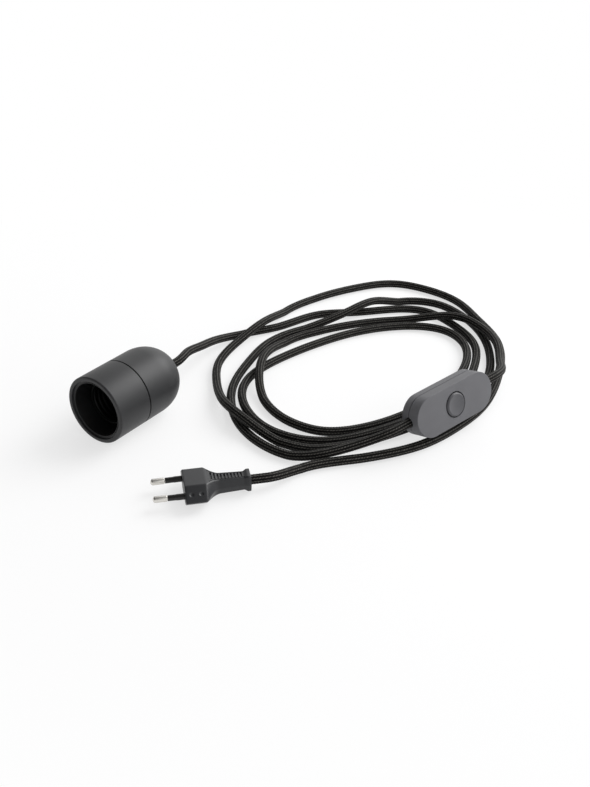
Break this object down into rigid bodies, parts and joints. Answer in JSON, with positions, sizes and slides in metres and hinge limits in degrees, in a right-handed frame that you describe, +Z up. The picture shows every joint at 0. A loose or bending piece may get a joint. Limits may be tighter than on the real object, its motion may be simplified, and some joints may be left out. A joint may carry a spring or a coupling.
{
  "type": "table lamp cord set",
  "caption": "Table lamp cord set: bottle-shaped lamp holder, braided fabric cord, inline push switch and flat mains plug, lying loosely coiled.",
  "frame": {"origin": "on the floor, under the middle of the lamp holder, which lies on its side", "axes": "+Z up; +Y along the lamp holder from its mouth to its cord end; +X towards the switch"},
  "size_m": [0.2198, 0.3686, 0.047],
  "materials": {
    "holder_plastic": "satin black shell",
    "insert_plastic": "dark inner insulation",
    "switch_plastic": "satin dark grey shell",
    "button_plastic": "satin dark grey button",
    "plug_plastic": "soft moulded plastic with a sheen",
    "sleeve_plastic": "black pin insulation",
    "nickel": "polished nickel",
    "brass": "plain contact brass",
    "spring_steel": "drawn wire",
    "screw_steel": "zinc plated",
    "cord_fabric": "braided textile sheath",
    "core_brown": "brown insulation",
    "core_blue": "blue insulation"
  },
  "bodies": {
    "cord_set": {"holder_skirt": "holder_plastic", "holder_dome": "holder_plastic", "thread_sleeve": "insert_plastic", "contact_carrier": "insert_plastic", "centre_contact": "brass", "side_contact_1": "brass", "side_contact_2": "brass", "terminal_screw_1": "screw_steel", "terminal_screw_2": "screw_steel", "cord_grip": "insert_plastic", "cord_grip_bar": "insert_plastic", "grip_screw_1": "screw_steel", "grip_screw_2": "screw_steel", "holder_live_core": "core_brown", "holder_neutral_core": "core_blue", "switch_cover": "switch_plastic", "switch_base": "switch_plastic", "button_spring": "spring_steel", "live_terminal_1": "brass", "live_terminal_2": "brass", "contact_bridge": "brass", "neutral_terminal": "brass", "housing_screw_1": "screw_steel", "housing_screw_2": "screw_steel", "cord_clamp_1": "insert_plastic", "cord_clamp_2": "insert_plastic", "live_core_1": "core_brown", "live_core_2": "core_brown", "neutral_core_1": "core_blue", "neutral_core_2": "core_blue", "plug_body": "plug_plastic", "pin_bridge": "plug_plastic", "pin_left": "nickel", "pin_right": "nickel", "pin_sleeve_left": "sleeve_plastic", "pin_sleeve_right": "sleeve_plastic", "plug_live_core": "core_brown", "plug_neutral_core": "core_blue", "cord_plug_to_switch": "cord_fabric", "cord_switch_to_holder": "cord_fabric"},
    "push_button": {"push_button": "button_plastic"}
  },
  "joints": [
    {"name": "button_press", "type": "slide", "parent": "cord_set", "child": "push_button", "axis": [-0.9265, 0.2654, -0.2668], "range_m": [0, 0.0022], "stiffness_N_per_m": 300, "springref_m": -0.001, "deforming": ["button_spring"]}
  ]
}
